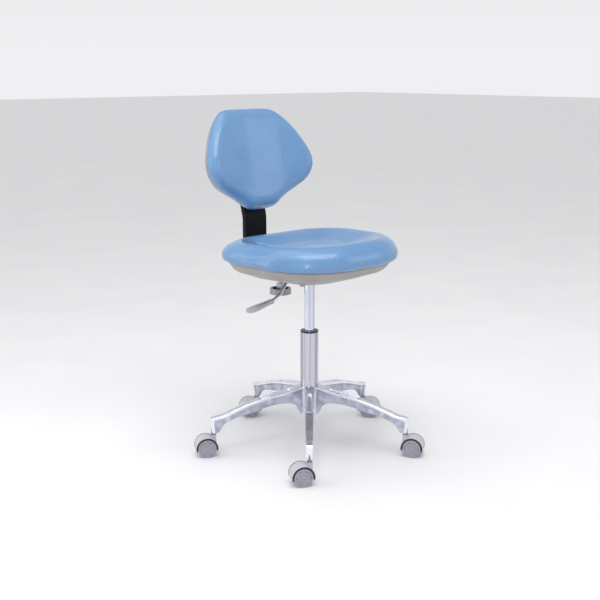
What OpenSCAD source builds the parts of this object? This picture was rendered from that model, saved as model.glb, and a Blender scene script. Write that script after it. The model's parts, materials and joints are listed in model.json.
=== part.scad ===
// Dentist stool: five-arm star base on twin-wheel casters, gas lift column,
// padded seat on a plastic tray, height lever, clamp knob and a padded backrest
// on a sliding J-bar. Units are millimetres, +Z is up, the sitter faces -Y and
// the origin is on the floor on the axis of the column.

/* [Base] */
// turn of the star base about the column, degrees from +X to the first arm
base_turn = 228; // [0:1:359]
// distance from the column axis to each caster stem
stem_radius = 277; // [255:1:300]
// height of the top of the hub
hub_top = 173; // [170:1:178]
// height of the underside of the hub
hub_bottom = 91; // [88:1:93]
// outside diameter of the hub
hub_diameter = 56; // [56:1:60]
// width of an arm next to the hub
arm_root_width = 34; // [32:1:40]
// width of an arm near the caster
arm_tip_width = 22; // [21:1:26]

/* [Casters] */
// diameter of the caster wheels
wheel_diameter = 50; // [48:1:52]
// distance from the stem axis to the wheel axle
caster_trail = 20; // [19:1:23]
// diameter of the caster stem in the arm
stem_diameter = 11; // [10:0.5:12]
// distance between the outer faces of a wheel pair
caster_width = 46; // [44:1:50]
// heading of the first caster's trail, degrees from +X
caster_heading_1 = 153; // [0:1:359]
// heading of the second caster's trail, degrees from +X
caster_heading_2 = 303; // [0:1:359]
// heading of the third caster's trail, degrees from +X
caster_heading_3 = 303; // [0:1:359]
// heading of the fourth caster's trail, degrees from +X
caster_heading_4 = 153; // [0:1:359]
// heading of the fifth caster's trail, degrees from +X
caster_heading_5 = 153; // [0:1:359]

/* [Gas lift] */
// outside diameter of the column tube
column_diameter = 50; // [49:0.5:51]
// height of the top of the column tube, under the black guide head
column_top = 327; // [318:1:332]
// height of the black guide head
guide_head_height = 4; // [3:1:8]
// outside diameter of the sliding gas cylinder
cylinder_diameter = 28; // [27:0.5:29]
// diameter of the piston rod
rod_diameter = 10; // [8:0.5:11]

/* [Seat] */
// width the sides of the seat cushion would reach at its rear corners
seat_rear_width = 480; // [460:2:490]
// width the sides of the seat cushion would reach at its front corners
seat_front_width = 396; // [380:2:410]
// reach of the seat cushion in front of the column axis
seat_front = 225; // [215:1:235]
// reach of the seat cushion behind the column axis
seat_rear = 178; // [174:1:184]
// corner radius of the seat cushion at the front
seat_front_radius = 176; // [160:1:182]
// corner radius of the seat cushion at the rear
seat_rear_radius = 126; // [122:1:134]
// height of the underside of the seat cushion
seat_underside = 536; // [534:1:540]
// height of the seat rim above the column axis
seat_rim = 588; // [582:1:596]
// rise of the seat rim towards the front, degrees
seat_rise = 2.6; // [1:0.2:3.6]
// depth of the dish in the seat
seat_dish = 16; // [8:1:22]
// depth of the plastic tray under the seat
tray_depth = 50; // [49:1:53]

/* [Backrest] */
// overall width of the backrest pad at its lobes
back_width = 359; // [350:2:380]
// height of the backrest pad along its own face
back_height = 287; // [280:1:300]
// thickness of the backrest pad
back_thickness = 50; // [48:1:54]
// lean of the backrest, degrees
back_lean = 15.5; // [12:0.5:17]
// radius of the backrest wrap around the sitter
back_wrap = 446; // [400:2:520]
// height of the lower end of the backrest pad
back_bottom = 645; // [640:1:652]
// distance of the upright bar behind the column axis
bar_reach = 235; // [230:1:240]
// width of the black cover on the upright bar
cover_width = 76; // [72:1:82]

/* [Lever and knob] */
// reach of the lever paddle end from the column axis
lever_reach = 218; // [205:1:224]
// length of the lever paddle
paddle_length = 86; // [78:1:92]
// diameter of the clamp knob
knob_diameter = 60; // [52:1:64]
// thickness of the clamp knob
knob_thickness = 16; // [13:1:18]
// distance of the clamp knob behind the column axis
knob_offset = 122; // [115:1:130]
// height of the centre of the clamp knob
knob_height = 421; // [415:1:432]

/* [Hidden] */
$fn = 72;
arms = 5;
arm_step = 360 / arms;
// play on the radius of parts that turn or slide in one another
play = 0.05;
// taper of the seat's sides and the centres of its rounded corners
seat_taper = atan((seat_rear_width - seat_front_width) / 2 / (seat_front + seat_rear));
front_centre = [
    seat_front_width / 2 + seat_front_radius * (tan(seat_taper) - 1 / cos(seat_taper)),
    seat_front_radius - seat_front
];
rear_centre = [
    seat_rear_width / 2 - seat_rear_radius * (tan(seat_taper) + 1 / cos(seat_taper)),
    seat_rear - seat_rear_radius
];
wheel_radius = wheel_diameter / 2;
axle_height = wheel_radius;
heading = [caster_heading_1, caster_heading_2, caster_heading_3, caster_heading_4, caster_heading_5];
stem_seat = 61.5;
tip_top = 99;
tube_floor = 97;
floor_plate = 3;
tube_wall = 1.8;
taper_length = 76;
taper_drop = 1.6;
board_thickness = 12;
board_inset = 36;
board_top = seat_underside - 0.1;
board_under = board_top - board_thickness;
cylinder_foot = 250;
cylinder_head = board_under - 16;
steel = 3;
box_half = 45;
box_depth = 34;
box_under = board_under - 0.1 - box_depth;
pivot_x = -30;
pivot_z = cylinder_head + 1.5;
pin_top = cylinder_head + 6.2;
bar_width = 60;
bar_steel = 8;
bar_z = board_under - 7.6;
bar_bend = 26;
tray_inset = 18;
tray_wall = 3;
bend_z = 612;
lean_bend = 60;
bar_front = 66;
// depth of the bar behind the middle of the backrest pad
pad_offset = 38;
// the tray hangs a little lower at the rear
tray_tilt = 1.2;
tray_under = seat_underside - 1.5 - tray_depth;
// places of the wood screws that hold the tray and the bar channel
tray_posts = [[-112, -98], [112, -98], [-112, 84], [112, 84]];
channel_holes = [[-26, 86], [26, 86], [-26, 140], [26, 140]];
// height of the root of the lever's paddle
paddle_z = 434;

// ---- shared shapes -------------------------------------------------------

// a ring standing on z = 0
module ring(outer, inner, height) {
    difference() {
        cylinder(d = outer, h = height);
        translate([0, 0, -1]) cylinder(d = inner, h = height + 2);
    }
}

// a box centred on x and y, standing on z = 0
module block(size) {
    translate([-size[0] / 2, -size[1] / 2, 0]) cube(size);
}

// children copied to every arm, +X outwards
module on_arms() {
    for (k = [0 : arms - 1]) {
        rotate([0, 0, base_turn + k * arm_step]) children();
    }
}

// children placed at caster k, +X along its trail
module on_caster(k) {
    rotate([0, 0, base_turn + k * arm_step])
        translate([stem_radius, 0, 0])
            rotate([0, 0, heading[k] - base_turn - k * arm_step])
                children();
}

// one cubic curve between p and s, without its end point
function curve(p, q, r, s, n = 10) = [
    for (k = [0 : n - 1])
        let (t = k / n, u = 1 - t)
        u * u * u * p + 3 * u * u * t * q + 3 * u * t * t * r + t * t * t * s
];

// points of an arc about a centre, with its end point
function arc(centre, radius, from, to, n) = [
    for (k = [0 : n])
        let (a = from + (to - from) * k / n)
        centre + radius * [cos(a), sin(a)]
];

// the seat's outline taken in by g, anticlockwise from the front
function seat_outline(g) =
    let (
        right = concat(
            arc(front_centre, seat_front_radius - g, -90, -seat_taper, 12),
            arc(rear_centre, seat_rear_radius - g, -seat_taper, 90, 12)
        ),
        last = len(right) - 1
    )
    concat(right, [for (k = [last : -1 : 0]) [-right[k][0], right[k][1]]]);

// a closed solid through rings of the seat's outline, each ring given as
// [inset, share of its size kept about the middle, height, slope along y]
module seat_loft(rings) {
    middle = [0, -20];
    count = len(seat_outline(0));
    points = [
        for (r = rings, p = seat_outline(r[0]))
            let (q = middle + r[1] * (p - middle))
            [q[0], q[1], r[2] + r[3] * q[1]]
    ];
    top = (len(rings) - 1) * count;
    polyhedron(points, concat(
        [[for (j = [0 : count - 1]) j]],
        [
            for (i = [0 : len(rings) - 2], j = [0 : count - 1])
                [i * count + j, (i + 1) * count + j, (i + 1) * count + (j + 1) % count]
        ],
        [
            for (i = [0 : len(rings) - 2], j = [0 : count - 1])
                [i * count + j, (i + 1) * count + (j + 1) % count, i * count + (j + 1) % count]
        ],
        [[for (j = [count - 1 : -1 : 0]) top + j]]
    ));
}

// ---- star base -----------------------------------------------------------

// top line of an arm from the hub to its tip, lowered by drop
function arm_top(drop, n = 8) = concat(
    curve([20, hub_top - drop], [42, hub_top - drop], [60, 163 - drop], [100, 157 - drop], n),
    curve([100, 157 - drop], [150, 147 - drop], [190, 136 - drop], [251, 111 - drop], n)
);

// side view of one arm, x outwards
module arm_side() {
    tip = stem_radius + 7;
    polygon(concat(
        arm_top(0),
        curve([251, 111], [266, 105], [tip - 1, 103], [tip, 86], 6),
        [[tip, stem_seat], [tip - 18, stem_seat]],
        curve([tip - 20, 80], [252, 88], [228, 97], [195, 105]),
        curve([152, 113], [138, 120], [110, 127.5], [75, 128]),
        curve([75, 128], [48, 128], [33, 118], [28, hub_bottom]),
        [[20, hub_bottom]]
    ));
}

// view of one arm from above, x outwards
module arm_plan() {
    root = arm_root_width / 2;
    half = arm_tip_width / 2;
    polygon(concat(
        [[0, -root], [60, -root + 2], [stem_radius - 20, -half], [stem_radius - 4, -half + 1]],
        [for (k = [-4 : 4]) [stem_radius - 2 + 9 * cos(20 * k), (half - 1.5) * sin(22.5 * k)]],
        [[stem_radius - 4, half - 1], [stem_radius - 20, half], [60, root - 2], [0, root]]
    ));
}

// recessed panel along each side of an arm, under its top ridge
module arm_panel() {
    polygon(concat(
        [for (p = arm_top(6)) if (p[0] > 44) p],
        [[251, 105], [stem_radius - 8, 97], [stem_radius - 8, 66]],
        [[stem_radius - 30, 60], [44, 60]]
    ));
}

module star_base() {
    recess = 3.5;
    color("#c6c8d2")
    difference() {
        union() {
            translate([0, 0, hub_bottom]) cylinder(d = hub_diameter, h = hub_top - hub_bottom - 3);
            translate([0, 0, hub_top - 3]) cylinder(d1 = hub_diameter, d2 = hub_diameter - 3, h = 3);
            on_arms() {
                intersection() {
                    translate([0, 60, 0]) rotate([90, 0, 0]) linear_extrude(120) arm_side();
                    translate([0, 0, 40]) linear_extrude(150) arm_plan();
                }
            }
        }
        // bore for the tapered foot of the column
        translate([0, 0, tube_floor])
            cylinder(d1 = column_diameter - 2 * taper_drop, d2 = column_diameter, h = taper_length);
        translate([0, 0, tube_floor + taper_length - 0.5]) cylinder(d = column_diameter, h = 8);
        translate([0, 0, hub_bottom - 1]) cylinder(d = 40, h = 20);
        on_arms() {
            // side panels
            for (side = [0, 1]) {
                mirror([0, side, 0]) {
                    translate([60, arm_root_width / 2 - 2 - recess, 0])
                        rotate([0, 0, -atan((arm_root_width / 2 - 2 - arm_tip_width / 2) / (stem_radius - 80))])
                            translate([-60, 30, 0]) rotate([90, 0, 0]) linear_extrude(30) arm_panel();
                    // the leg at the tip is narrower than the arm above it
                    translate([stem_radius - 9, 8.2, 50]) cube([30, 20, 33]);
                }
            }
            // recess in the top, widening outwards
            intersection() {
                translate([0, 20, 0]) rotate([90, 0, 0]) linear_extrude(40)
                    polygon(concat([for (p = arm_top(6)) if (p[0] > 55 && p[0] < 160) p], [[150, 220], [55, 220]]));
                translate([0, 0, 100]) linear_extrude(100) polygon([[60, -4.5], [60, 4.5], [142, 9], [142, -9]]);
            }
            // hollow underside
            translate([0, 3.5, 0]) rotate([90, 0, 0]) linear_extrude(7)
                polygon([[80, 90], [80, 140], [130, 134], [190, 120], [222, 108], [222, 80]]);
            // socket for the caster stem
            translate([stem_radius, 0, 50]) cylinder(d = stem_diameter, h = tip_top - 6 - 50);
        }
    }
}

module caster_stems() {
    color("#9a9ca6")
    on_arms() {
        translate([stem_radius, 0, 26]) cylinder(d = 8, h = 34);
        translate([stem_radius, 0, stem_seat - 2.4]) cylinder(d = 14, h = 2.4);
        translate([stem_radius, 0, stem_seat - 1]) cylinder(d = stem_diameter, h = 29);
        translate([stem_radius, 0, stem_seat + 28]) cylinder(d1 = stem_diameter, d2 = stem_diameter - 3, h = 2);
    }
}

// ---- column --------------------------------------------------------------

module column_tube() {
    taper_top = tube_floor + taper_length;
    color("#d6d4ea")
    difference() {
        union() {
            translate([0, 0, tube_floor])
                cylinder(d1 = column_diameter - 2 * taper_drop, d2 = column_diameter, h = taper_length);
            translate([0, 0, taper_top]) cylinder(d = column_diameter, h = column_top - taper_top);
        }
        translate([0, 0, tube_floor + floor_plate])
            cylinder(d = column_diameter - 2 * taper_drop - 2 * tube_wall, h = taper_length);
        translate([0, 0, taper_top]) cylinder(d = column_diameter - 2 * tube_wall, h = column_top);
        translate([0, 0, tube_floor - 1]) cylinder(d = rod_diameter + 2 * play, h = 10);
    }
}

module guide_bush() {
    head = guide_head_height;
    color("#16161a")
    difference() {
        union() {
            translate([0, 0, 222]) cylinder(d = column_diameter - 2 * tube_wall - 0.1, h = column_top - 222);
            translate([0, 0, column_top]) cylinder(d = column_diameter, h = head - 1);
            translate([0, 0, column_top + head - 1])
                cylinder(d1 = column_diameter, d2 = column_diameter - 2, h = 1);
        }
        translate([0, 0, 200]) cylinder(d = cylinder_diameter + 2 * play, h = 200);
    }
}

module bearing_race_low() {
    color("#a8a8ac")
    translate([0, 0, tube_floor + floor_plate]) ring(26, rod_diameter + 1, 2);
}

module bearing_balls() {
    color("#b8b8bc")
    translate([0, 0, tube_floor + floor_plate + 2.1]) {
        translate([0, 0, 1]) ring(24, rod_diameter + 2, 2);
        for (k = [0 : 7]) {
            rotate([0, 0, 45 * k]) translate([9, 0, 2]) sphere(d = 4);
        }
    }
}

module bearing_race_high() {
    color("#a8a8ac")
    translate([0, 0, tube_floor + floor_plate + 6.4]) ring(26, rod_diameter, 2);
}

module stop_buffer() {
    color("#1c1c1e")
    translate([0, 0, tube_floor + floor_plate + 8.4]) {
        ring(26, rod_diameter, 10);
        translate([0, 0, 10]) ring(22, rod_diameter, 5);
    }
}

module piston_rod() {
    color("#c8c8d0")
    difference() {
        translate([0, 0, tube_floor - 5]) cylinder(d = rod_diameter, h = 312 - tube_floor + 5);
        translate([0, 0, tube_floor - 3]) ring(20, rod_diameter - 2, 1.6);
    }
}

module rod_clip() {
    color("#6a6a70")
    translate([0, 0, tube_floor - 3])
        difference() {
            cylinder(d = 18, h = 1.6);
            translate([0, 0, -1]) cylinder(d = rod_diameter - 2, h = 4);
            translate([0, -2, -1]) cube([20, 4, 4]);
        }
}

module piston() {
    bore = cylinder_diameter - 4;
    color("#55565c")
    translate([0, 0, 298])
        difference() {
            cylinder(d = bore - 2 * play, h = 12);
            translate([0, 0, -1]) cylinder(d = rod_diameter, h = 14);
            translate([0, 0, 5]) ring(bore + 2, bore - 3, 2);
        }
}

module gas_cylinder() {
    cone = 36;
    bore = cylinder_diameter - 4;
    color("#d6d4ea")
    difference() {
        union() {
            translate([0, 0, cylinder_foot]) cylinder(d = cylinder_diameter, h = cylinder_head - cone - cylinder_foot);
            translate([0, 0, cylinder_head - cone])
                cylinder(d1 = cylinder_diameter, d2 = cylinder_diameter - 2, h = cone);
        }
        translate([0, 0, cylinder_foot - 1]) cylinder(d = bore, h = cylinder_head - cylinder_foot - 17);
        translate([0, 0, cylinder_head - 20]) cylinder(d = 8 + 2 * play, h = 30);
    }
}

module rod_gland() {
    color("#232326")
    translate([0, 0, cylinder_foot + 1]) ring(cylinder_diameter - 4, rod_diameter + 2 * play, 12);
}

module valve_pin() {
    color("#b0b0b4")
    translate([0, 0, cylinder_head - 18]) cylinder(d = 8, h = pin_top - cylinder_head + 18);
}

// ---- seat ----------------------------------------------------------------

module seat_mechanism() {
    top = board_under - 0.1;
    color("#2b2c30")
    difference() {
        union() {
            // flange against the seat board
            translate([0, -26, top - steel]) block([170, 188, steel]);
            // folded box around the lever
            translate([0, -28, box_under]) block([2 * box_half, 150, box_depth - 1]);
            // socket for the gas cylinder
            translate([0, 0, box_under - 10]) cylinder(d = 42, h = 42);
        }
        translate([0, -28, box_under + steel]) difference() {
            block([2 * box_half - 2 * steel, 150 - 2 * steel, box_depth]);
            // socket and pivot lugs stay
            translate([0, 28, -1]) cylinder(d = 42, h = 19.5);
            for (side = [-1, 1]) {
                translate([pivot_x, 28 + side * 19, -1]) block([16, 4, box_depth - 9]);
            }
        }
        // tapered seat of the cylinder
        translate([0, 0, cylinder_head - 36])
            cylinder(d1 = cylinder_diameter, d2 = cylinder_diameter - 2, h = 36);
        translate([0, 0, box_under - 20]) cylinder(d = cylinder_diameter, h = cylinder_head - 36 - box_under + 20);
        translate([0, 0, cylinder_head - 8]) cylinder(d = 30, h = 50);
        // pivot pin
        translate([pivot_x, 30, pivot_z]) rotate([90, 0, 0]) cylinder(d = 6, h = 60);
        // window for the lever rod
        translate([-box_half, 0, box_under + 8]) block([12, 16, box_depth]);
        // bolt holes
        for (x = [-72, 72], y = [-105, 60]) {
            translate([x, y, top - 10]) cylinder(d = 6, h = 20);
        }
    }
}

module plate_bolts() {
    color("#8c8e94")
    for (x = [-72, 72], y = [-105, 60]) {
        translate([x, y, board_under - 0.1 - steel - 4]) cylinder(d = 11.5, h = 4, $fn = 6);
        translate([x, y, board_under - 0.1 - steel - 1]) cylinder(d = 6, h = 15);
    }
}

module tee_nuts() {
    color("#a0a2a8")
    for (x = [-72, 72], y = [-105, 60]) {
        translate([x, y, board_top - 1.5]) ring(19, 6, 1.5);
        translate([x, y, board_top - 10]) ring(8, 6, 9);
    }
}

module seat_board() {
    color("#c49a63")
    difference() {
        translate([0, 0, board_under]) linear_extrude(board_thickness) polygon(seat_outline(board_inset));
        for (x = [-72, 72], y = [-105, 60]) {
            translate([x, y, board_under - 1]) cylinder(d = 8, h = 20);
            translate([x, y, board_top - 1.5]) cylinder(d = 19, h = 3);
        }
        for (p = concat(tray_posts, channel_holes)) {
            translate([p[0], p[1], board_under - 1]) cylinder(d = 4, h = 9.5);
        }
    }
}

module seat_cushion() {
    side_z = seat_underside + 13;
    roll = 12;
    crown = 52;
    slope = -tan(seat_rise);
    color("#6f9fcd")
    seat_loft(concat(
        // rolled lower edge
        [for (k = [0 : 4]) [roll * (1 - sin(22.5 * k)), 1, side_z - 13 * cos(22.5 * k), 0]],
        // side up to the crest
        [
            for (k = [1 : 8])
                let (a = 90 * k / 8)
                [crown * (1 - cos(a)), 1, side_z + (seat_rim - side_z) * sin(a), slope * sin(a)]
        ],
        // dish inside the crest
        [
            for (k = [1 : 7])
                [crown, 1 - k / 8, seat_rim - seat_dish * (1 - cos(180 * k / 8)) / 2, slope]
        ]
    ));
}

// height of the tray's underside at the distance y behind the column axis
function tray_floor(y) = tray_under - y * tan(tray_tilt);

module seat_tray() {
    rim = seat_underside - 1.5;
    wall_in = 5;
    under = tray_under;
    slope = -tan(tray_tilt);
    outside = concat(
        curve([91, 0], [75, 2], [56, 13], [36, 19], 4),
        curve([36, 19], [16, 23], [7, 33], [wall_in, rim - 4.5 - under], 4)
    );
    inside = concat(
        curve([91, tray_wall], [76, 5], [58, 16], [39, 22], 4),
        curve([39, 22], [20, 27], [11, 36], [wall_in + tray_wall, rim - 4.5 - under], 4)
    );
    deep = rim - 4.5 - under;
    color("#a7a09c")
    difference() {
        union() {
            seat_loft(concat(
                [for (p = outside) [tray_inset + p[0], 1, under + p[1], slope * (1 - p[1] / deep)]],
                [[tray_inset + 0.6, 1, rim - 4.2, 0], [tray_inset, 1, rim - 3.4, 0], [tray_inset, 1, rim, 0]],
                [[tray_inset + wall_in + tray_wall, 1, rim, 0]],
                [
                    for (k = [len(inside) - 1 : -1 : 0])
                        let (p = inside[k])
                        [tray_inset + p[0], 1, under + p[1], slope * (1 - p[1] / deep)]
                ]
            ));
            // screw posts
            for (p = tray_posts) {
                translate([p[0], p[1], tray_floor(p[1]) + 1])
                    cylinder(d = 15, h = board_under - tray_floor(p[1]) - 1.1);
            }
        }
        for (p = tray_posts) {
            translate([p[0], p[1], tray_floor(p[1]) - 5]) cylinder(d = 10, h = 17);
            translate([p[0], p[1], tray_floor(p[1])]) cylinder(d = 4, h = 60);
        }
        // opening around the column socket
        translate([0, 0, under - 10]) cylinder(d = 62, h = 30);
        // slot for the lever
        translate([-88, 0, under - 10]) block([56, 22, 40]);
        // notch for the back bar, its channel and the knob stud
        translate([0, 157, under - 20]) block([bar_width + 14, 114, 90]);
    }
}

module wood_screws() {
    color("#85878d")
    union() {
        for (p = tray_posts) {
            translate([p[0], p[1], tray_floor(p[1]) + 9.5]) cylinder(d = 8, h = 2.5);
            translate([p[0], p[1], tray_floor(p[1]) + 11])
                cylinder(d = 4, h = board_under + 8 - tray_floor(p[1]) - 11);
        }
        for (p = channel_holes) {
            translate([p[0], p[1], board_under - 0.1 - steel]) cylinder(d1 = 8, d2 = 4, h = 2);
            translate([p[0], p[1], board_under - 0.1 - steel]) cylinder(d = 4, h = steel + 8);
        }
    }
}

module bar_channel() {
    top = board_under - 0.1;
    inner = bar_width + 1;
    low = bar_z - bar_steel / 2 - 6.4;
    color("#3a3c42")
    difference() {
        union() {
            translate([0, 112, low - steel]) block([inner + 2 * steel, 80, top - low + steel]);
            translate([0, knob_offset, low - steel - 8]) cylinder(d = 15, h = 9, $fn = 6);
        }
        translate([0, 112, low]) block([inner, 100, top - low - steel]);
        translate([0, knob_offset, low - 20]) cylinder(d = 8 + 2 * play, h = 24);
        for (p = channel_holes) {
            translate([p[0], p[1], top - steel]) cylinder(d1 = 8, d2 = 4, h = 2);
            translate([p[0], p[1], top - steel - 1]) cylinder(d = 4, h = steel + 3);
        }
    }
}

// ---- lever ---------------------------------------------------------------

module lever_pin() {
    color("#9a9ca2")
    translate([pivot_x, 23, pivot_z]) rotate([90, 0, 0]) cylinder(d = 6, h = 46);
}

// a straight round bar from p to q in the plane y = 0
module rod_between(p, q, d) {
    run = q - p;
    translate([p[0], 0, p[1]]) rotate([0, atan2(run[0], run[1]), 0]) cylinder(d = d, h = norm(run));
}

module lever_rod() {
    paddle_root = lever_reach - paddle_length;
    path = [
        [pivot_x, pivot_z], [-57, pivot_z - 2], [-104, paddle_z + 15],
        [-paddle_root - 3, paddle_z - 0.5], [-paddle_root - 50, paddle_z - 8.8]
    ];
    color("#b9bac0")
    difference() {
        union() {
            for (k = [0 : 3]) {
                rod_between(path[k], path[k + 1], 8);
            }
            for (k = [1 : 3]) {
                translate([path[k][0], 0, path[k][1]]) sphere(d = 8.6);
            }
            // hub and tongue over the valve pin
            translate([pivot_x, 15, pivot_z]) rotate([90, 0, 0]) cylinder(d = 13, h = 30);
            translate([pivot_x, -8, pin_top + 0.3]) cube([38, 16, 3]);
            translate([pivot_x - 6, -8, pivot_z]) cube([12, 16, pin_top + 3.3 - pivot_z]);
        }
        translate([pivot_x, 30, pivot_z]) rotate([90, 0, 0]) cylinder(d = 6 + 2 * play, h = 60);
    }
}

module lever_paddle() {
    root = lever_reach - paddle_length;
    color("#9fa0a8")
    difference() {
        translate([-root, 0, paddle_z]) rotate([0, -10, 0]) mirror([1, 0, 0]) {
            intersection() {
                translate([0, 0, -4.5]) linear_extrude(9) union() {
                    translate([paddle_length - 15, 0]) circle(d = 30);
                    polygon([[0, -7], [18, -8], [52, -14], [paddle_length - 15, -15],
                        [paddle_length - 15, 15], [52, 14], [18, 8], [0, 7]]);
                }
                // the faces thin towards the end
                translate([0, 20, 0]) rotate([90, 0, 0]) linear_extrude(40)
                    polygon([[0, -4.5], [paddle_length, -3], [paddle_length, 2.6], [0, 4.5]]);
            }
        }
        rod_between([-root + 12, paddle_z + 7], [-root - 3, paddle_z - 0.5], 9);
        rod_between([-root - 3, paddle_z - 0.5], [-root - 51, paddle_z - 9], 8);
        translate([-root - 3, 0, paddle_z - 0.5]) sphere(d = 9.4);
    }
}

// ---- knob ----------------------------------------------------------------

module knob_rim() {
    low = knob_height - knob_thickness / 2;
    lobes = 24;
    color("#9b9b9f")
    translate([0, knob_offset, low])
        difference() {
            ring(knob_diameter, knob_diameter - 12, knob_thickness);
            for (k = [0 : lobes - 1]) {
                rotate([0, 0, k * 360 / lobes]) translate([knob_diameter / 2 + 0.6, 0, -1])
                    cylinder(d = 3.4, h = knob_thickness + 2);
            }
        }
}

module knob_core() {
    low = knob_height - knob_thickness / 2;
    color("#1a1a1d")
    translate([0, knob_offset, low])
        difference() {
            cylinder(d = knob_diameter - 12, h = knob_thickness - 2);
            translate([0, 0, knob_thickness - 5]) ring(knob_diameter - 18, 24, 6);
            translate([0, 0, -1]) cylinder(d = 8, h = 30);
            translate([0, 0, knob_thickness - 4]) cylinder(d = 16, h = 6);
        }
}

module knob_stud() {
    low = knob_height - knob_thickness / 2;
    tip = bar_z - bar_steel / 2 - 3.3;
    color("#b4b4b8")
    translate([0, knob_offset, low]) {
        translate([0, 0, 2]) cylinder(d = 8, h = tip - low - 2);
        // collar above the knob
        translate([0, 0, knob_thickness - 4]) cylinder(d = 16, h = 4);
        translate([0, 0, knob_thickness - 1.9]) cylinder(d = 23, h = 16);
    }
}

module clamp_pad() {
    color("#4c4e55")
    translate([0, knob_offset, bar_z - bar_steel / 2 - 3]) cylinder(d = 22, h = 2.6);
}

// ---- back bar ------------------------------------------------------------

// the leaning end of the bar and the backrest share this frame
module lean_frame() {
    translate([0, bar_reach + lean_bend, bend_z]) rotate([-back_lean, 0, 0]) translate([0, -lean_bend, 0]) children();
}

// side view of the upright and its lean, [y, z] points at a distance behind the bar's middle line
function upright_side(behind, z_from, up_to) =
    let (
        centre = [bar_reach + lean_bend, bend_z],
        radius = lean_bend - behind,
        bend = arc(centre, radius, 180, 180 - back_lean, 6)
    )
    concat([[bar_reach + behind, z_from]], bend, [bend[6] + up_to * [sin(back_lean), cos(back_lean)]]);

// a flat bar of the given width and thickness along the upright, from z_from to up_to past the lean bend
module upright(width, thick, z_from, up_to) {
    front = upright_side(-thick / 2, z_from, up_to);
    rear = upright_side(thick / 2, z_from, up_to);
    translate([-width / 2, 0, 0]) rotate([90, 0, 90]) linear_extrude(width)
        polygon(concat(rear, [for (k = [len(front) - 1 : -1 : 0]) front[k]]));
}

module back_bar() {
    half = bar_steel / 2;
    elbow = [bar_reach - bar_bend, bar_z + bar_bend];
    front = upright_side(-half, elbow[1] + 5, 150);
    rear = upright_side(half, elbow[1] + 5, 150);
    color("#2a2b2f")
    difference() {
        translate([-bar_width / 2, 0, 0]) rotate([90, 0, 90]) linear_extrude(bar_width)
            polygon(concat(
                [[bar_front, bar_z - half]],
                arc(elbow, bar_bend + half, -90, 0, 12),
                rear,
                [for (k = [len(front) - 1 : -1 : 0]) front[k]],
                arc(elbow, bar_bend - half, 0, -90, 12),
                [[bar_front, bar_z + half]]
            ));
        back_bores(6.4);
    }
}

module bar_cover() {
    color("#0c0c10")
    difference() {
        upright(cover_width, 14, 545, 56);
        upright(bar_width + 0.6, bar_steel + 0.6, 535, 90);
    }
}

// ---- backrest ------------------------------------------------------------

// front view of the backrest pad taken in by g, from its lower end up
module back_outline(g) {
    // width at the lobes against the drawn curve, and height against its crown
    across = (back_width - 2 * g) / 366;
    tall = (back_height - 2 * g) / 289.4;
    right = concat(
        curve([0, 0], [24, 0], [45.6, 0], [57.9, 9.1], 5),
        curve([57.9, 9.1], [93.4, 37], [109, 40.4], [151.7, 62.4]),
        curve([151.7, 62.4], [199.5, 97], [188, 137.5], [171.9, 172.6], 12),
        curve([171.9, 172.6], [152, 221.7], [124, 258], [97, 277.5]),
        curve([97, 277.5], [80, 289], [50, 289.4], [0, 289.4], 8)
    );
    last = len(right) - 1;
    full = concat(right, [[0, 289.4]], [for (k = [last : -1 : 1]) [-right[k][0], right[k][1]]]);
    polygon([for (p = full) [p[0] * across, g + p[1] * tall]]);
}

// a curved layer of the backrest between depths y_front and y_rear of its own frame
module back_layer(g, y_front, y_rear) {
    intersection() {
        translate([0, 120, 0]) rotate([90, 0, 0]) linear_extrude(300) back_outline(g);
        translate([0, -back_wrap, -20]) ring(2 * (back_wrap + y_rear), 2 * (back_wrap + y_front), back_height + 60);
    }
}

// the backrest's own frame: its lower end in the middle, leaning with the bar
module back_frame() {
    rise = (back_bottom - bend_z - (lean_bend + pad_offset) * sin(back_lean)) / cos(back_lean);
    lean_frame() translate([0, -pad_offset, rise]) children();
}

module back_cushion() {
    half = back_thickness / 2;
    color("#6f9fcd")
    back_frame() difference() {
        union() {
            back_layer(0, -half + 12, half - 10);
            back_layer(6, -half + 4, -half + 13);
            back_layer(14, -half, -half + 5);
        }
        back_layer(20, -1.2, half + 5);
    }
}

module back_board() {
    color("#c49a63")
    difference() {
        back_frame() back_layer(20.3, -1, 6);
        back_bores(5.2);
    }
}

// bores for the four screws that hold the bar
module back_bores(d) {
    lean_frame() for (x = [-18, 18], z = [80, 130]) {
        translate([x, 20, z]) rotate([90, 0, 0]) cylinder(d = d, h = 60);
    }
}

module back_shell() {
    half = back_thickness / 2;
    color("#a7a09c")
    difference() {
        union() {
            back_frame() difference() {
                union() {
                    back_layer(8, half - 9.9, half - 3);
                    back_layer(12, half - 4, half);
                }
                back_layer(14, half - 20, half - 3);
            }
            // block between the board and the bar
            lean_frame() translate([0, -(pad_offset - 6.2) / 2 - bar_steel / 4 - 0.05, 64])
                block([62, pad_offset - 6.2 - bar_steel / 2 - 0.1, 82]);
        }
        back_bores(6.4);
    }
}

module back_screws() {
    color("#8c8e94")
    lean_frame() for (x = [-18, 18], z = [80, 130]) {
        translate([x, bar_steel / 2 + 3.4, z]) rotate([90, 0, 0]) cylinder(d = 11, h = 3.4);
        translate([x, bar_steel / 2 + 1, z]) rotate([90, 0, 0]) cylinder(d = 5.2, h = pad_offset + 2);
    }
}

// ---- casters -------------------------------------------------------------

hood_inner = wheel_radius + 1.6;
hood_outer = hood_inner + 3;
hood_half = 20.5;
web_half = 6;

// a round bar along y at the axle
module at_axle() {
    translate([caster_trail, 0, axle_height]) rotate([90, 0, 0]) children();
}

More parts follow.
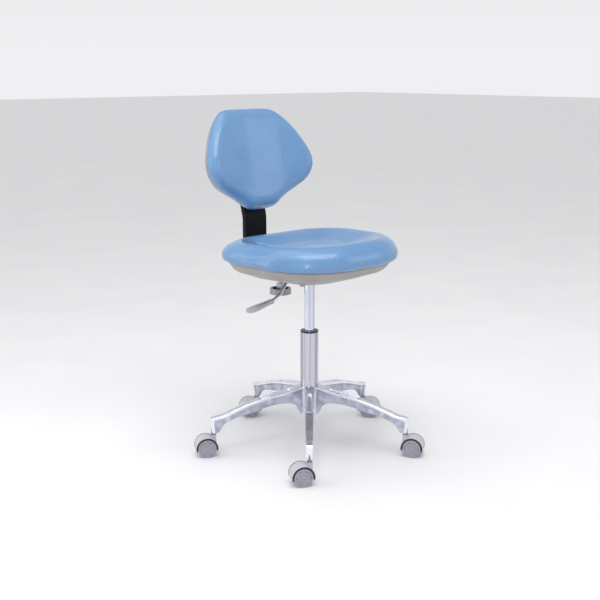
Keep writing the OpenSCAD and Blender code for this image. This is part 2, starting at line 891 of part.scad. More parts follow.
module hood_body() {
    difference() {
        union() {
            // arched roof over both wheels
            at_axle() translate([0, 0, -hood_half]) difference() {
                cylinder(r = hood_outer, h = 2 * hood_half);
                translate([0, 0, -1]) cylinder(r = hood_inner, h = 2 * hood_half + 2);
                translate([-60, -60, -1]) cube([120, 54, 60]);
            }
            // web between the wheels
            at_axle() translate([0, 0, -web_half]) difference() {
                cylinder(r = hood_inner + 1, h = 2 * web_half);
                translate([-60, -66, -1]) cube([120, 54, 60]);
            }
            // stem housing
            translate([0, 0, 20]) cylinder(d = 17, h = 38.4);
        }
        // the wheels turn clear of the housing
        for (side = [-1, 1]) {
            translate([0, side * (web_half + 10.3), 0]) at_axle() cylinder(r = hood_inner, h = 20, center = true);
        }
        translate([0, 0, 24]) cylinder(d = 8 + 2 * play, h = 60);
        at_axle() cylinder(d = 6, h = 80, center = true);
    }
}

module trim_body() {
    for (side = [-1, 1]) {
        translate([0, side * (hood_half + 1), 0]) at_axle()
            difference() {
                cylinder(r = hood_outer + 0.4, h = 2, center = true);
                cylinder(r = hood_inner + 0.2, h = 4, center = true);
                translate([-60, -60.5, -4]) cube([120, 54, 8]);
            }
    }
}

module axle_body() {
    at_axle() cylinder(d = 6, h = caster_width - 4, center = true);
}

// one wheel on the side given by 1 or -1
module wheel_body(side) {
    inner = web_half + 0.6;
    outer = caster_width / 2;
    wide = outer - inner;
    translate([0, side * (inner + wide / 2), 0]) at_axle()
        difference() {
            union() {
                cylinder(r = wheel_radius, h = wide - 4, center = true);
                for (flip = [0, 1]) {
                    mirror([0, 0, flip]) translate([0, 0, wide / 2 - 2])
                        cylinder(r1 = wheel_radius, r2 = wheel_radius - 1.6, h = 2);
                }
            }
            cylinder(d = 6 + 2 * play, h = 40, center = true);
            // shallow dish and pinholes in the outer face
            translate([0, 0, -side * (wide / 2 - 1) - 1]) ring(2 * wheel_radius - 9, 16, 2);
            for (k = [0 : 5]) {
                rotate([0, 0, 60 * k]) translate([wheel_radius - 7, 0, -side * wide / 2])
                    cylinder(d = 2.6, h = 12, center = true);
            }
        }
}

module hood(k) {
    color("#a6a3b0") on_caster(k) hood_body();
}

module trim(k) {
    color("#26242c") on_caster(k) trim_body();
}

module axle(k) {
    color("#9c9da4") on_caster(k) axle_body();
}

module wheel(k, side) {
    color("#a9a6b3") on_caster(k) wheel_body(side);
}

// ---- drawn parts ---------------------------------------------------------

star_base();
column_tube();
guide_bush();
bearing_race_low();
bearing_balls();
caster_stems();
piston_rod();
piston();
bearing_race_high();
stop_buffer();
rod_clip();
gas_cylinder();
rod_gland();
seat_mechanism();
seat_board();
seat_cushion();
seat_tray();
plate_bolts();
tee_nuts();
wood_screws();
bar_channel();
lever_pin();
lever_rod();
lever_paddle();
valve_pin();
back_bar();
bar_cover();
back_board();
back_cushion();
back_shell();
back_screws();
clamp_pad();
knob_rim();
knob_core();
knob_stud();
hood(0);  // hood_1
hood(1);  // hood_2
hood(2);  // hood_3
hood(3);  // hood_4
hood(4);  // hood_5
trim(0);  // trim_1
trim(1);  // trim_2
trim(2);  // trim_3
trim(3);  // trim_4
trim(4);  // trim_5
axle(0);  // axle_1
axle(1);  // axle_2
axle(2);  // axle_3
axle(3);  // axle_4
axle(4);  // axle_5
wheel(0, 1);  // wheel_1a
wheel(0, -1);  // wheel_1b
wheel(1, 1);  // wheel_2a
wheel(1, -1);  // wheel_2b
wheel(2, 1);  // wheel_3a
wheel(2, -1);  // wheel_3b
wheel(3, 1);  // wheel_4a
wheel(3, -1);  // wheel_4b
wheel(4, 1);  // wheel_5a
wheel(4, -1);  // wheel_5b
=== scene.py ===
"""Looks of the dentist stool: padded seat and back, polished base, chromed column, plastic casters."""

import json
import math

import bmesh
import bpy
import numpy as np
from mathutils import Matrix, Vector


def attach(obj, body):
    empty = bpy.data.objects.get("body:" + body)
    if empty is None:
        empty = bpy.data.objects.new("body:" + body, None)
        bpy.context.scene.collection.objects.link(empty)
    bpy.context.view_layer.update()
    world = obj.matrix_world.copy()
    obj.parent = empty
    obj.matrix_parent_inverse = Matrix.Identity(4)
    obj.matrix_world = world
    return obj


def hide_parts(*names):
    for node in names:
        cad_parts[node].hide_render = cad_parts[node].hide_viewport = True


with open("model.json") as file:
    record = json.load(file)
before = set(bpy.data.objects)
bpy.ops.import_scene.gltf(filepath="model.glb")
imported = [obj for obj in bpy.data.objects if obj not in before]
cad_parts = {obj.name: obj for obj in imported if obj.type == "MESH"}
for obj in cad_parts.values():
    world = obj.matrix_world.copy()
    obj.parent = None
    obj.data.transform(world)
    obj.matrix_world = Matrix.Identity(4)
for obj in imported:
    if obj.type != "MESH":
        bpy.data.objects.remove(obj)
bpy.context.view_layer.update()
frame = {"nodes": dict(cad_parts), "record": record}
nodes = frame["nodes"]
MM = 0.001
scene = bpy.context.scene


# ---------------------------------------------------------------- materials
def rgb(r, g, b):
    """Linear colour from 0-255 display values."""

    def linear(c):
        c /= 255
        return c / 12.92 if c <= 0.04045 else ((c + 0.055) / 1.055) ** 2.4

    return (linear(r), linear(g), linear(b), 1.0)


class Surface:
    """A Principled material built up from procedural layers in object space."""

    def __init__(self, name, colour, rough, metal=0.0, **sockets):
        self.mat = bpy.data.materials.new(name)
        self.mat.use_nodes = True
        self.tree = self.mat.node_tree
        self.shader = self.tree.nodes["Principled BSDF"]
        self.shader.inputs["Base Color"].default_value = colour
        self.shader.inputs["Roughness"].default_value = rough
        self.shader.inputs["Metallic"].default_value = metal
        for key, value in sockets.items():
            self.shader.inputs[key.replace("_", " ")].default_value = value
        self.mat.diffuse_color = colour
        self.coords = self.add("ShaderNodeTexCoord").outputs["Object"]
        self.normal = None

    def add(self, kind, **values):
        node = self.tree.nodes.new(kind)
        for key, value in values.items():
            setattr(node, key, value)
        return node

    def link(self, a, b):
        self.tree.links.new(a, b)

    def noise(self, scale, detail=3.0, rough=0.5, stretch=None):
        node = self.add("ShaderNodeTexNoise")
        node.inputs["Scale"].default_value = scale
        node.inputs["Detail"].default_value = detail
        node.inputs["Roughness"].default_value = rough
        source = self.coords
        if stretch:
            mapping = self.add("ShaderNodeMapping")
            mapping.inputs["Scale"].default_value = stretch
            self.link(source, mapping.inputs["Vector"])
            source = mapping.outputs["Vector"]
        self.link(source, node.inputs["Vector"])
        return node.outputs["Fac"]

    def cells(self, scale, feature="F1", smooth=0.0):
        node = self.add("ShaderNodeTexVoronoi", feature=feature)
        node.inputs["Scale"].default_value = scale
        if smooth:
            node.inputs["Smoothness"].default_value = smooth
        self.link(self.coords, node.inputs["Vector"])
        return node.outputs["Distance"]

    def spread(self, value, low, high, out_low, out_high):
        node = self.add("ShaderNodeMapRange")
        for key, number in zip(("From Min", "From Max", "To Min", "To Max"), (low, high, out_low, out_high)):
            node.inputs[key].default_value = number
        self.link(value, node.inputs["Value"])
        return node.outputs["Result"]

    def tint(self, value, other, low=0.35, high=0.65):
        """Varies the base colour towards another one."""
        node = self.add("ShaderNodeMix", data_type="RGBA")
        current = self.shader.inputs["Base Color"]
        if current.is_linked:
            self.link(current.links[0].from_socket, node.inputs[6])
        else:
            node.inputs[6].default_value = current.default_value
        node.inputs[7].default_value = other
        self.link(self.spread(value, low, high, 0.0, 1.0), node.inputs[0])
        self.link(node.outputs[2], current)

    def polish(self, value, low, high):
        """Varies the roughness between two values."""
        self.link(self.spread(value, 0.3, 0.7, low, high), self.shader.inputs["Roughness"])

    def bump(self, value, distance, strength=1.0):
        node = self.add("ShaderNodeBump")
        node.inputs["Distance"].default_value = distance
        node.inputs["Strength"].default_value = strength
        self.link(value, node.inputs["Height"])
        if self.normal:
            self.link(self.normal, node.inputs["Normal"])
        self.normal = node.outputs["Normal"]
        self.link(self.normal, self.shader.inputs["Normal"])

    def round_edges(self, radius):
        """Softens sharp edges in the shading."""
        node = self.add("ShaderNodeBevel", samples=6)
        node.inputs["Radius"].default_value = radius
        self.normal = node.outputs["Normal"]
        self.link(self.normal, self.shader.inputs["Normal"])


def upholstery():
    """Blue vinyl with a fine grain and a soft shine."""
    s = Surface(
        "Upholstery", rgb(97, 140, 184), 0.42,
        Specular_IOR_Level=0.5, Coat_Weight=0.6, Coat_Roughness=0.11,
    )
    s.tint(s.noise(9, 2), rgb(90, 133, 178))
    s.tint(s.noise(160, 2), rgb(99, 142, 186), 0.45, 0.75)
    s.polish(s.noise(30, 3), 0.38, 0.48)
    s.bump(s.noise(26, 2, 0.4), 0.0006, 0.5)
    grain = s.cells(900, "SMOOTH_F1", 0.4)
    s.bump(grain, 0.00012, 0.6)
    return s.mat


def moulded(
    name, colour, rough, other, edge=0.0006, grain=1400, depth=0.00006, shine=0.45
):
    """Moulded plastic with a fine spark-eroded grain."""
    s = Surface(name, colour, rough, Specular_IOR_Level=shine)
    s.round_edges(edge)
    s.tint(s.noise(22, 3), other)
    s.polish(s.noise(60, 2), rough - 0.05, rough + 0.06)
    s.bump(s.noise(grain, 2, 0.6), depth, 0.7)
    return s.mat


def metal(name, colour, rough, other, edge=0.0006):
    """Plain metal with slightly uneven colour and polish."""
    s = Surface(name, colour, rough, 1.0)
    s.round_edges(edge)
    s.tint(s.noise(14, 3), other)
    s.polish(s.noise(40, 4, 0.6), rough - 0.03, rough + 0.03)
    return s.mat


def cast_aluminium(name, colour, dark, light, rough, wave):
    """Die-cast aluminium: a little wavy, with its cloudy tone partly painted as reflection mottling."""
    s = Surface(name, colour, rough, 1.0)
    # painted reflection: darker and lighter noise tints mottle the colour like reflections on polished metal,
    # on top of the cast's own cloudy tone
    s.tint(s.noise(26, 2, 0.4), dark, 0.42, 0.68)
    s.tint(s.noise(48, 1, 0.4), light, 0.5, 0.8)
    s.polish(s.noise(40, 1, 0.4), rough - 0.03, rough + 0.05)
    s.bump(s.noise(16, 0, 0.4), wave, 0.5)
    return s.mat


def chromed_tube(name, colour, other, rough):
    """Chromed steel tube with long soft streaks: rougher ones left by drawing and polishing, and darker ones
    painted into the colour as reflections.
    """
    s = Surface(name, colour, rough, 1.0)
    s.round_edges(0.0005)
    # painted reflection: long dark streaks in the colour stand in for the dark bands that a chromed tube
    # reflects
    s.tint(s.noise(75, 2, 0.5, (1, 1, 0.012)), other, 0.44, 0.62)
    s.polish(s.noise(160, 2, 0.5, (1, 1, 0.02)), rough, rough + 0.05)
    s.bump(s.noise(900, 2, 0.5, (1, 1, 0.01)), 0.00002, 0.5)
    return s.mat


def plywood():
    s = Surface("Plywood", rgb(206, 170, 124), 0.6)
    s.tint(s.noise(12, 4, 0.6, (1, 9, 1)), rgb(178, 138, 92))
    s.tint(s.noise(30, 2, 0.5, (0.4, 0.4, 22)), rgb(150, 112, 74), 0.5, 0.8)
    s.bump(s.noise(200, 3, 0.6, (1, 12, 1)), 0.0001, 0.5)
    return s.mat


blue = upholstery()
grey_plastic = moulded("GreyPlastic", rgb(158, 153, 151), 0.46, rgb(150, 146, 144), 0.001)
looks = {
    # the dark and light colours of the aluminium are painted reflection mottling over its cloudy cast tone
    "base_aluminium": cast_aluminium(
        "Aluminium", (0.85, 0.86, 0.94, 1), (0.74, 0.76, 0.88, 1), (0.91, 0.92, 0.98, 1), 0.25, 0.0002
    ),
    # the second colour of each chromed tube is the colour of its painted reflection streaks
    "column_chrome": chromed_tube("ColumnChrome", (0.57, 0.565, 0.65, 1), (0.35, 0.345, 0.42, 1), 0.10),
    "cylinder_chrome": chromed_tube("CylinderChrome", (0.66, 0.69, 0.81, 1), (0.42, 0.44, 0.56, 1), 0.06),
    "guide_plastic": moulded("GuidePlastic", rgb(24, 24, 30), 0.22, rgb(30, 30, 36)),
    "bearing_steel": metal("BearingSteel", (0.6, 0.6, 0.62, 1), 0.2, (0.55, 0.55, 0.58, 1)),
    "stem_steel": metal("StemSteel", (0.30, 0.30, 0.33, 1), 0.32, (0.26, 0.26, 0.29, 1)),
    "stud_steel": metal("StudSteel", (0.45, 0.45, 0.47, 1), 0.34, (0.38, 0.38, 0.40, 1)),
    "clip_steel": metal("ClipSteel", (0.35, 0.35, 0.37, 1), 0.35, (0.30, 0.30, 0.32, 1)),
    "buffer_rubber": moulded("BufferRubber", rgb(30, 30, 32), 0.75, rgb(36, 36, 38)),
    "gland_plastic": moulded("GlandPlastic", rgb(36, 36, 38), 0.5, rgb(42, 42, 44)),
    "mechanism_paint": moulded("MechanismPaint", rgb(44, 45, 48), 0.42, rgb(52, 53, 56), 0.0008, 700, 0.0001),
    "plywood": plywood(),
    "upholstery": blue,
    "grey_plastic": grey_plastic,
    "zinc_screws": metal("ZincScrews", (0.62, 0.62, 0.64, 1), 0.3, (0.55, 0.55, 0.58, 1), 0.0004),
    "lever_chrome": metal("LeverChrome", (0.55, 0.55, 0.59, 1), 0.2, (0.50, 0.50, 0.54, 1)),
    "lever_plastic": moulded("LeverPlastic", rgb(176, 173, 181), 0.42, rgb(168, 165, 174), 0.0014),
    "bar_paint": moulded("BarPaint", rgb(22, 22, 26), 0.35, rgb(27, 27, 31), 0.001, 800, 0.00008),
    "cover_plastic": moulded("CoverPlastic", rgb(7, 8, 13), 0.5, rgb(10, 11, 16), 0.0016, shine=0.15),
    "knob_grey": metal("KnobGrey", (0.33, 0.33, 0.33, 1), 0.36, (0.27, 0.27, 0.27, 1), 0.0005),
    "knob_black": moulded("KnobBlack", rgb(18, 18, 20), 0.34, rgb(24, 24, 26), 0.0008),
    "caster_grey": moulded("CasterGrey", rgb(191, 189, 195), 0.40, rgb(184, 182, 189), 0.0008),
    "caster_black": moulded("CasterBlack", rgb(30, 28, 38), 0.34, rgb(36, 34, 44), 0.0004),
    "axle_steel": metal("AxleSteel", (0.5, 0.5, 0.53, 1), 0.3, (0.45, 0.45, 0.48, 1)),
    "wheel_grey": moulded("WheelGrey", rgb(158, 156, 168), 0.5, rgb(150, 148, 161), 0.0008),
}
# the as-cast panels get the same painted reflection mottling, darker and rougher than the polished caps
cast_skin = cast_aluminium(
    "CastSkin", (0.52, 0.54, 0.64, 1), (0.36, 0.38, 0.48, 1), (0.68, 0.70, 0.79, 1), 0.38, 0.0012
)
slot_of = {p["node"]: p["material_slot"] for p in frame["record"]["subparts"]}
for name, node in nodes.items():
    node.data.materials.clear()
    node.data.materials.append(looks[slot_of[name]])


# ------------------------------------------------------------------ helpers
def make(name, points, faces, material, body):
    """A new mesh object in the row frame, points in millimetres, riding on a body."""
    mesh = bpy.data.meshes.new(name)
    mesh.from_pydata([Vector(p) * MM for p in points], [], faces)
    mesh.update()
    piece = bpy.data.objects.new(name, mesh)
    scene.collection.objects.link(piece)
    mesh.materials.append(material)
    mesh.polygons.foreach_set("use_smooth", [True] * len(mesh.polygons))
    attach(piece, body)
    return piece


def apply(piece):
    """Replaces the mesh with the result of its modifiers."""
    graph = bpy.context.evaluated_depsgraph_get()
    mesh = bpy.data.meshes.new_from_object(piece.evaluated_get(graph))
    piece.modifiers.clear()
    old, piece.data = piece.data, mesh
    bpy.data.meshes.remove(old)


def curve(p, q, r, s, n):
    """Points of a cubic curve without its end point."""
    p, q, r, s = (np.array(v, float) for v in (p, q, r, s))
    out = []
    for k in range(n):
        t = k / n
        u = 1 - t
        out.append(u**3 * p + 3 * u * u * t * q + 3 * u * t * t * r + t**3 * s)
    return out


def tube_faces(rings, count):
    """Quads between successive closed rings of count points."""
    return [
        (i * count + j, i * count + (j + 1) % count, (i + 1) * count + (j + 1) % count, (i + 1) * count + j)
        for i in range(rings - 1)
        for j in range(count)
    ]


CLOTH_FRAMES, EVEN_ROUNDS = 20, 40  # cloth steps, then rounds of evening out its wrinkles


def even_out(move, mesh, rounds):
    """Averages the movement of each vertex with that of its neighbours, so that no small wrinkles stay."""
    edges = np.array([e.vertices[:] for e in mesh.edges])
    a, b = edges[:, 0], edges[:, 1]
    neighbours = np.bincount(edges.ravel(), minlength=len(move))[:, None]
    for _ in range(rounds):
        total = np.zeros_like(move)
        np.add.at(total, a, move[b])
        np.add.at(total, b, move[a])
        move = 0.5 * move + 0.5 * total / np.maximum(neighbours, 1)
    return move


def sim_pad(piece, voxel, pressure, cap, held):
    """Swells a pad as stuffed cloth. Every point stays within cap of where it was, and held ones stay put."""
    remesh = piece.modifiers.new("Remesh", "REMESH")
    remesh.mode = "VOXEL"
    remesh.voxel_size = voxel
    apply(piece)
    before = np.array([v.co for v in piece.data.vertices])
    pins = piece.vertex_groups.new(name="Held")
    pins.add([k for k, co in enumerate(before) if held(co)], 1.0, "REPLACE")
    cloth = piece.modifiers.new("Cloth", "CLOTH")
    cloth.settings.vertex_group_mass = "Held"
    cloth.settings.use_pressure = True
    cloth.settings.uniform_pressure_force = pressure
    cloth.settings.effector_weights.gravity = 0
    cloth.settings.quality = 4
    cloth.settings.tension_stiffness = 40
    cloth.settings.compression_stiffness = 40
    cloth.settings.bending_stiffness = 5.0
    for f in range(1, CLOTH_FRAMES + 1):
        scene.frame_set(f)
    apply(piece)
    after = np.array([v.co for v in piece.data.vertices])
    move = even_out(after - before, piece.data, EVEN_ROUNDS)
    move[[v.index for v in piece.data.vertices if held(before[v.index])]] = 0
    length = np.linalg.norm(move, axis=1, keepdims=True)
    after = before + move * np.minimum(1.0, cap / np.maximum(length, 1e-9))
    piece.data.vertices.foreach_set("co", after.ravel())
    piece.data.update()
    scene.frame_set(1)
    smooth = piece.modifiers.new("Smooth", "SUBSURF")
    smooth.levels = smooth.render_levels = 1
    apply(piece)


# --------------------------------------------------------------------- seat
SEAT_REAR_WIDTH, SEAT_FRONT_WIDTH = 480, 396
SEAT_FRONT, SEAT_REAR = 225, 178
FRONT_RADIUS, REAR_RADIUS = 176, 126
SEAT_UNDER, SEAT_RIM, SEAT_RISE, SEAT_DISH, DISH_REACH = 536, 588, 2.6, 25, 0.56
TAPER = math.atan((SEAT_REAR_WIDTH - SEAT_FRONT_WIDTH) / 2 / (SEAT_FRONT + SEAT_REAR))
FRONT_CENTRE = np.array(
    [SEAT_FRONT_WIDTH / 2 + FRONT_RADIUS * (math.tan(TAPER) - 1 / math.cos(TAPER)), FRONT_RADIUS - SEAT_FRONT]
)
REAR_CENTRE = np.array(
    [SEAT_REAR_WIDTH / 2 - REAR_RADIUS * (math.tan(TAPER) + 1 / math.cos(TAPER)), SEAT_REAR - REAR_RADIUS]
)
SEAT_MIDDLE = np.array([0, -20.0])


def arc(centre, radius, start, end, n):
    return [
        centre + radius * np.array([math.cos(a), math.sin(a)])
        for a in (math.radians(start + (end - start) * k / n) for k in range(n + 1))
    ]


def seat_outline(inset, n=28):
    """The seat's outline taken in by inset, anticlockwise from the front."""
    slope = math.degrees(TAPER)
    right = arc(FRONT_CENTRE, FRONT_RADIUS - inset, -90, -slope, n)
    side_end = REAR_CENTRE + (REAR_RADIUS - inset) * np.array([math.cos(TAPER), -math.sin(TAPER)])
    right += [right[-1] * (1 - t) + side_end * t for t in (0.25, 0.5, 0.75)]
    right += arc(REAR_CENTRE, REAR_RADIUS - inset, -slope, 90, n)
    left = [np.array([-p[0], p[1]]) for p in reversed(right)]
    rear = [right[-1] * (1 - t) + left[0] * t for t in (0.2, 0.4, 0.6, 0.8)]
    front = [left[-1] * (1 - t) + right[0] * t for t in (0.33, 0.67)]
    return right + rear + left + front


def seat_rings(rings, n=28):
    """Points for rings of [inset, share kept about the middle, height function of y]."""
    points = []
    for inset, share, height in rings:
        for p in seat_outline(inset, n):
            q = SEAT_MIDDLE + share * (p - SEAT_MIDDLE)
            points.append((q[0], q[1], height(q[0], q[1])))
    return points, len(seat_outline(0, n))


def seat_pad():
    """The seat pad, from the middle of its underside, round the side to the dish on top."""
    low_edge, roll, crown, under_inset = 13, 12, 42, 30
    side = SEAT_UNDER + low_edge
    slope = -math.tan(math.radians(SEAT_RISE))
    rings = [(under_inset, share, lambda x, y: SEAT_UNDER) for share in (0.02, 0.6, 1)]
    for k in range(7):
        a = math.radians(15 * k)
        z = side - low_edge * math.cos(a)
        rings.append((roll * (1 - math.sin(a)), 1, lambda x, y, z=z: z))
    steps = 14
    for k in range(1, steps + 1):
        a = math.radians(90 * k / steps)
        z = side + (SEAT_RIM - side) * math.sin(a)
        rings.append((crown * (1 - math.cos(a)), 1, lambda x, y, z=z, w=math.sin(a): z + slope * w * y))
    steps = 18
    for k in range(1, steps):
        u = min(1.0, k / steps / DISH_REACH)
        z = SEAT_RIM - SEAT_DISH * u * u * (3 - 2 * u)
        rings.append((crown, 1 - k / steps, lambda x, y, z=z: z + slope * y))
    points, count = seat_rings(rings)
    faces = tube_faces(len(rings), count)
    faces.append(tuple(reversed(range(count))))
    last = (len(rings) - 1) * count
    faces.append(tuple(last + j for j in range(count)))
    return make("SeatPad", points, faces, blue, "seat")


seat_cushion = seat_pad()
sim_pad(seat_cushion, 0.006, 4.0, 0.003, lambda co: co[2] < (SEAT_UNDER + 7) * MM)
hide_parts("seat_cushion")

# --------------------------------------------------------------------- back
BACK_WIDTH, BACK_HEIGHT, BACK_THICK, BACK_LEAN, BACK_WRAP = 359, 287, 50, 15.5, 446
BACK_BOTTOM, BAR_REACH, BEND_Z, LEAN_BEND, PAD_OFFSET = 645, 235, 612, 60, 38
lean = math.radians(BACK_LEAN)
rise = (BACK_BOTTOM - BEND_Z - (LEAN_BEND + PAD_OFFSET) * math.sin(lean)) / math.cos(lean)
back_frame = (
    Matrix.Translation((0, BAR_REACH + LEAN_BEND, BEND_Z))
    @ Matrix.Rotation(-lean, 4, "X")
    @ Matrix.Translation((0, -LEAN_BEND, 0))
    @ Matrix.Translation((0, -PAD_OFFSET, rise))
)


def back_outline(inset, n=10):
    """Outline of the backrest pad, anticlockwise seen from the front, from its lower middle."""
    across, tall = (BACK_WIDTH - 2 * inset) / 366, (BACK_HEIGHT - 2 * inset) / 289.4
    right = (
        curve([0, 0], [24, 0], [45.6, 0], [57.9, 9.1], n)
        + curve([57.9, 9.1], [93.4, 37], [109, 40.4], [151.7, 62.4], n)
        + curve([151.7, 62.4], [199.5, 97], [188, 137.5], [171.9, 172.6], n)
        + curve([171.9, 172.6], [152, 221.7], [124, 258], [97, 277.5], n)
        + curve([97, 277.5], [80, 289], [50, 289.4], [0, 289.4], n)
    )
    full = right + [np.array([0, 289.4])] + [np.array([-p[0], p[1]]) for p in reversed(right[1:])]
    return [np.array([p[0] * across, inset + p[1] * tall]) for p in full]


def back_rings(rings, n=10):
    """Rings of [inset, share kept about the pad's middle, depth], wrapped round the sitter."""
    middle = np.array([0, 140.0])
    points = []
    for inset, share, depth in rings:
        for p in back_outline(inset, n):
            x, z = middle + share * (p - middle)
            y = -BACK_WRAP + math.sqrt((BACK_WRAP + depth) ** 2 - x * x)
            points.append(back_frame @ Vector((x, y, z)))
    return points, len(back_outline(0, n))


def back_depth(local):
    """How far a point in the pad's own frame lies behind the pad's middle layer."""
    return math.hypot(local.x, local.y + BACK_WRAP) - BACK_WRAP


def closed(rings, points, count):
    faces = tube_faces(len(rings), count)
    last = (len(rings) - 1) * count
    return faces + [tuple(reversed(range(count))), tuple(last + j for j in range(count))]


def back_pad():
    half = BACK_THICK / 2
    # from the rear edge at the shell, round the side to the crown of the front
    rear = ((20, 11), (12, 10.5), (6, 11), (2.5, 14), (0.6, 18), (0, 24))
    rings = [(inset, 1, half - short) for inset, short in rear]
    roll, deep = 24, half + 1
    for k in range(1, 11):
        a = math.radians(9 * k)
        rings.append((roll * (1 - math.cos(a)), 1, 1 - deep * math.sin(a)))
    for share in (0.94, 0.85, 0.75, 0.62, 0.5, 0.36, 0.22, 0.08):
        rings.append((roll, share, -half - 1.5 * (1 - share)))
    points, count = back_rings(rings)
    return make("BackPad", points, closed(rings, points, count), blue, "back")


back_cushion = back_pad()
into_back = back_frame.inverted()
sim_pad(back_cushion, 0.005, 4.0, 0.003, lambda co: back_depth(into_back @ (Vector(co) / MM)) > 4)
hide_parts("back_cushion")

# ---------------------------------------------------------------- star base
BASE_TURN, STEM_SEAT = 228, 61.5


def dense(points, step=0.5):
    """Points close together along a chain of points."""
    out = []
    for a, b in zip(points, points[1:]):
        n = max(1, int(np.linalg.norm(np.subtract(b, a)) / step))
        out += [np.array(a) + (np.array(b) - np.array(a)) * k / n for k in range(n)]
    return np.array(out + [np.array(points[-1], float)])


arm_top = dense(
    curve([20, 173], [42, 173], [60, 163], [100, 157], 30)
    + curve([100, 157], [150, 147], [190, 136], [251, 111], 30)
    + [[251, 111]]
)
arm_under = dense(
    [[20, 91], [28, 91]]
    + curve([28, 91], [33, 118], [48, 128], [75, 128], 20)
    + curve([75, 128], [110, 127.5], [138, 120], [152, 113], 20)
    + [[152, 113]]
    + curve([195, 105], [212, 101], [226, 96], [240, 89], 20)
    + [[240, 89]]
)


def arm_stations():
    """[top point, underside point, half width, recess depth, recess half width] along an arm."""
    reach = [20, 25.5, 32, 40, 50, 56, 59.5, 62, 66, 76, 92]
    reach += [112, 128, 137, 140.5, 143, 148, 160, 178, 198, 218, 234]
    under_r = np.interp(
        reach, [20, 25.5, 32, 40, 50, 60, 76, 92, 234], [20, 25.5, 29.5, 33, 41, 50, 66, 84, 225]
    )
    out = []
    for r, ru in zip(reach, under_r):
        half = np.interp(r, [20, 60, 257], [17, 15, 11])
        deep = np.interp(r, [56, 62, 140.5, 146], [0, 6.5, 6.5, 0])
        wide = np.interp(r, [60, 142], [4.6, 9])
        out.append(([r, np.interp(r, *arm_top.T)], [ru, np.interp(ru, *arm_under.T)], half, deep, wide))
    # the tip turns down to the caster stem
    bend = [[251, 111], [262, 109.3], [272, 107.8], [279, 106.6]]
    bend += [[282.2, 105.2], [283.7, 102.2], [284, 97], [283.6, 90]]
    inner = [[238, 90.5], [242, 88], [246, 84.5], [248.6, 81.6]]
    inner += [[250.6, 79], [252.2, 76.4], [253.6, 74], [255.2, 71.4]]
    for k, (a, b) in enumerate(zip(bend, inner)):
        out.append((a, b, 11 - 2.4 * k / 7, 0, 5))
    for (r, z), (ri, zi) in (
        ((283.0, 82), (257.2, 68.8)),
        ((282.4, 75), (259.2, 66.2)),
        ((281.8, 68), (261.2, 63.8)),
        ((281.3, 63.6), (262.6, 62.1)),
    ):
        out.append(([r, z], [ri, zi], 8.4, 0, 4))
    out.append(([280.4, STEM_SEAT + 0.1], [263.6, STEM_SEAT + 0.1], 7.6, 0, 3.6))
    return out


def arm_profile(top, under, half, deep, wide):
    """One cross-section of an arm as [across, distance below the top] points, right half then left."""
    depth = math.dist(top, under)
    cap = min(np.interp(top[0], [240, 283], [8.5, 12]), depth * 0.5)
    step = 3.6
    right = [
        (0, deep + 0.5),
        (wide * 0.82, deep + 0.4),
        (wide - 0.2, max(deep - 0.8, 0.45)),
        (wide + 0.6, 0.35),
        (wide + (half - wide) * 0.45, 0.0),
        (half - 2.2, 0.25),
        (half - 0.7, 0.9),
        (half, 2.6),
        (half, cap - 1.2),
        (half - 0.5, cap),
        (half - step + 0.5, cap + 0.9),
        (half - step, cap + 2.2),
        (half - step, depth - 3),
        (half - step - 0.4, depth - 0.8),
        (half - step - 1.8, depth),
        (0, depth),
    ]
    return right + [(-y, s) for y, s in right[-2:0:-1]]


def star_arm(angle):
    """Points and faces of one arm that points along an angle."""
    stations = arm_stations()
    spin = Matrix.Rotation(math.radians(angle), 3, "Z")
    points = []
    for top, under, half, deep, wide in stations:
        top, under = np.array(top, float), np.array(under, float)
        down = (under - top) / np.linalg.norm(under - top)
        for across, below in arm_profile(top, under, half, deep, wide):
            r, z = top + down * below
            points.append(spin @ Vector((r, across, z)))
    count = len(arm_profile(*stations[0]))
    return points, closed(stations, points, count)


def spun(profile, segments):
    """A closed profile of [radius, height] points turned about Z."""
    points = []
    for k in range(segments):
        a = 2 * math.pi * k / segments
        points += [(r * math.cos(a), r * math.sin(a), z) for r, z in profile]
    n = len(profile)
    faces = [
        (k * n + j, (k + 1) % segments * n + j, (k + 1) % segments * n + (j + 1) % n, k * n + (j + 1) % n)
        for k in range(segments)
        for j in range(n)
    ]
    return points, faces


PANEL_FROM = 9  # first strip of an arm's section that is left as cast


def star_base():
    """The hub and its five arms as one mesh."""
    hub_profile = [
        (25.05, 97), (20, 97), (20, 92), (20.8, 91), (27, 91), (28, 92), (28, 95),
        (28, 130), (28, 170.6), (27.4, 172.3), (26.2, 173), (25.4, 172.6), (25.05, 171.6),
    ]
    hub_points, hub_faces = spun(hub_profile, 96)
    hub = make("StarBase", hub_points, hub_faces, looks["base_aluminium"], "base")
    arm_objects = []
    for k in range(5):
        points, faces = star_arm(BASE_TURN + 72 * k)
        arm = make(f"Arm{k}", points, faces, looks["base_aluminium"], "base")
        arm.data.materials.append(cast_skin)
        count = len(arm_profile(*arm_stations()[0]))
        for face in arm.data.polygons[: -2]:
            face.material_index = int(PANEL_FROM <= min(face.index % count, count - 1 - face.index % count))
        arm.modifiers.new("Smooth", "SUBSURF").levels = 2
        apply(arm)
        arm_objects.append(arm)
    bpy.ops.object.select_all(action="DESELECT")
    for o in [hub, *arm_objects]:
        o.select_set(True)
    bpy.context.view_layer.objects.active = hub
    bpy.ops.object.join()
    mesh = bmesh.new()
    mesh.from_mesh(hub.data)
    bmesh.ops.recalc_face_normals(mesh, faces=mesh.faces)
    mesh.to_mesh(hub.data)
    mesh.free()
    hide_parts("star_base")
    return hub


star = star_base()

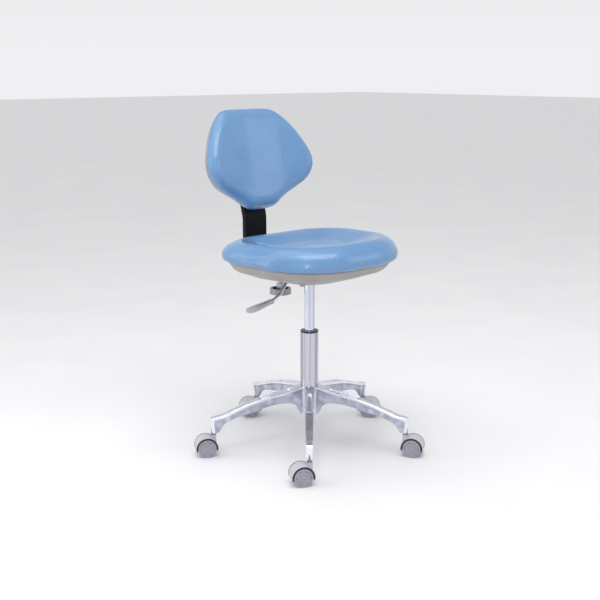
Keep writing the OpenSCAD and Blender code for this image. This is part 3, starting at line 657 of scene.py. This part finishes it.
# ------------------------------------------------------------ camera, light
camera_data = bpy.data.cameras.new("Camera")
camera_data.sensor_width = 36
camera_data.lens = 57.49
camera_data.shift_x = -0.0157
camera = bpy.data.objects.new("Camera", camera_data)
scene.collection.objects.link(camera)
azimuth, away = math.radians(-42), 2.5494
camera.location = (math.sin(azimuth) * away, -math.cos(azimuth) * away, 1.0309)
camera.rotation_euler = (math.radians(90 - 13.57), 0, azimuth)
camera_data.clip_start, camera_data.clip_end = 0.05, 50
scene.camera = camera

floor_mesh = bpy.data.meshes.new("Floor")
floor_mesh.from_pydata([(-30, -30, 0), (30, -30, 0), (30, 30, 0), (-30, 30, 0)], [], [(0, 1, 2, 3)])
floor = bpy.data.objects.new("Floor", floor_mesh)
scene.collection.objects.link(floor)
floor_look = Surface("FloorLook", (0.80, 0.80, 0.805, 1), 0.7)
floor_look.tint(floor_look.noise(3, 2), (0.78, 0.78, 0.79, 1))
floor_mesh.materials.append(floor_look.mat)


def lamp(name, place, target, size, power, colour=(1, 1, 1)):
    data = bpy.data.lights.new(name, "AREA")
    data.shape = "RECTANGLE"
    data.size, data.size_y = size
    data.energy = power
    data.color = colour
    light = bpy.data.objects.new(name, data)
    scene.collection.objects.link(light)
    light.location = place
    light.rotation_euler = (Vector(target) - Vector(place)).to_track_quat("-Z", "Y").to_euler()
    return light


lamp("Key", (-2.32, -2.12, 1.15), (0, 0, 0.62), (0.14, 1.5), 14, (1.0, 0.99, 0.98))
lamp("Top", (-0.35, -0.95, 3.0), (0, 0, 0.6), (2.2, 1.3), 36)
lamp("Fill", (1.9, -2.4, 1.7), (0, 0, 0.5), (1.4, 1.4), 8, (0.97, 0.98, 1.0))
lamp("Rim", (-1.6, 1.9, 1.6), (0, 0, 0.6), (0.6, 1.6), 4, (0.95, 0.97, 1.0))
lamp("SideStrip", (-1.35, 0.75, 0.75), (0, 0, 0.35), (0.28, 1.45), 3, (0.95, 0.97, 1.0))
sky_data = bpy.data.lights.new("Sky", "SUN")
sky_data.energy = 1.05
sky_data.angle = math.radians(60)
sky = bpy.data.objects.new("Sky", sky_data)
scene.collection.objects.link(sky)
sky.rotation_euler = (math.radians(-12), math.radians(-14), 0)

# a studio that is brighter near the horizon than overhead
world = bpy.data.worlds.new("Studio")
scene.world = world
world.use_nodes = True
tree = world.node_tree
direction = tree.nodes.new("ShaderNodeTexCoord")
split = tree.nodes.new("ShaderNodeSeparateXYZ")
ramp = tree.nodes.new("ShaderNodeMapRange")
for key, number in (("From Min", 0.02), ("From Max", 0.75), ("To Min", 0.90), ("To Max", 0.46)):
    ramp.inputs[key].default_value = number
tree.links.new(direction.outputs["Generated"], split.inputs["Vector"])
tree.links.new(split.outputs["Z"], ramp.inputs["Value"])
tree.links.new(ramp.outputs["Result"], tree.nodes["Background"].inputs["Strength"])
tree.nodes["Background"].inputs["Color"].default_value = (0.96, 0.965, 0.98, 1)
scene.view_settings.view_transform = "Standard"
